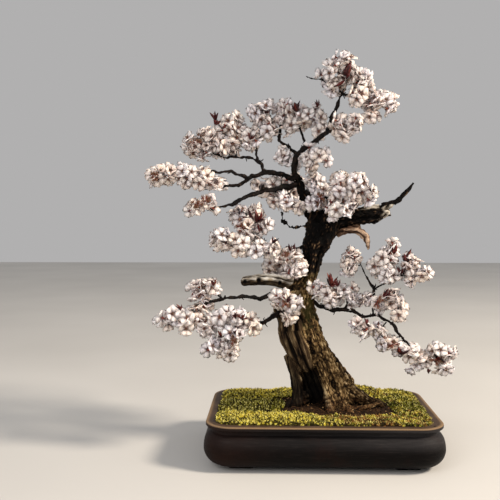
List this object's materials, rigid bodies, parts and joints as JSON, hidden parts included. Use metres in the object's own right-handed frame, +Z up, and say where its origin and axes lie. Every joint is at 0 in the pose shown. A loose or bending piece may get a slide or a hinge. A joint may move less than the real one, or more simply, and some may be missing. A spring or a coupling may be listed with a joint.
{
  "type": "bonsai tree in a pot",
  "caption": "Flowering dwarf tree with a slanting trunk, bare deadwood, white blossom and dark red leaf tufts, rooted in mossy soil in a low rounded rectangular stoneware pot.",
  "frame": {"origin": "middle of the whole object's outline seen from above, on the surface that the pot's feet stand on", "axes": "+Z up, +X to the right and +Y away from the viewer, as seen from the tree's front"},
  "size_m": [0.555, 0.288, 0.724],
  "materials": {
    "stoneware": "matte",
    "soil": "matte",
    "moss": "matte",
    "bark": "matte",
    "petal": "matte",
    "leaf": "satin",
    "screen_mesh": "matte",
    "clip_wire": "satin",
    "deadwood": "matte",
    "flower_centre": "matte",
    "stalk": "satin"
  },
  "bodies": {
    "root": {"blossoms_apex": "petal", "blossoms_apex_front": "petal", "blossoms_apex_right": "petal", "blossoms_back_left": "petal", "blossoms_back_low_left": "petal", "blossoms_back_low_right": "petal", "blossoms_back_upper": "petal", "blossoms_fork": "petal", "blossoms_fork_right": "petal", "blossoms_jin_root": "petal", "blossoms_jin_top": "petal", "blossoms_left_inner": "petal", "blossoms_left_tip": "petal", "blossoms_left_under": "petal", "blossoms_low_left_mass": "petal", "blossoms_low_left_rise": "petal", "blossoms_low_left_tip": "petal", "blossoms_low_right_bunch": "petal", "blossoms_low_right_mid": "petal", "blossoms_low_right_tip": "petal", "blossoms_middle_end": "petal", "blossoms_middle_root": "petal", "blossoms_middle_top": "petal", "blossoms_right_end": "petal", "blossoms_right_fork": "petal", "blossoms_right_middle": "petal", "blossoms_right_rise": "petal", "blossoms_right_root": "petal", "blossoms_right_under": "petal", "blossoms_trunk_front": "petal", "blossoms_upper_left_crown": "petal", "blossoms_upper_left_end": "petal", "blossoms_upper_middle": "petal", "branch_back_low": "bark", "branch_back_upper": "bark", "branch_crown": "bark", "branch_jin_side": "bark", "branch_left": "bark", "branch_low_front": "bark", "branch_low_left": "bark", "branch_middle": "bark", "branch_right": "bark", "branch_upper_left": "bark", "drain_clip_left": "clip_wire", "drain_clip_right": "clip_wire", "drain_screen_left": "screen_mesh", "drain_screen_right": "screen_mesh", "leaves_apex": "leaf", "leaves_middle": "leaf", "leaves_right": "leaf", "leaves_upper_left": "leaf", "moss_back_left": "moss", "moss_back_right": "moss", "moss_front_left": "moss", "moss_front_right": "moss", "moss_middle_left": "moss", "moss_right": "moss", "pot": "stoneware", "soil": "soil", "trunk": "bark"}
  },
  "joints": []
}
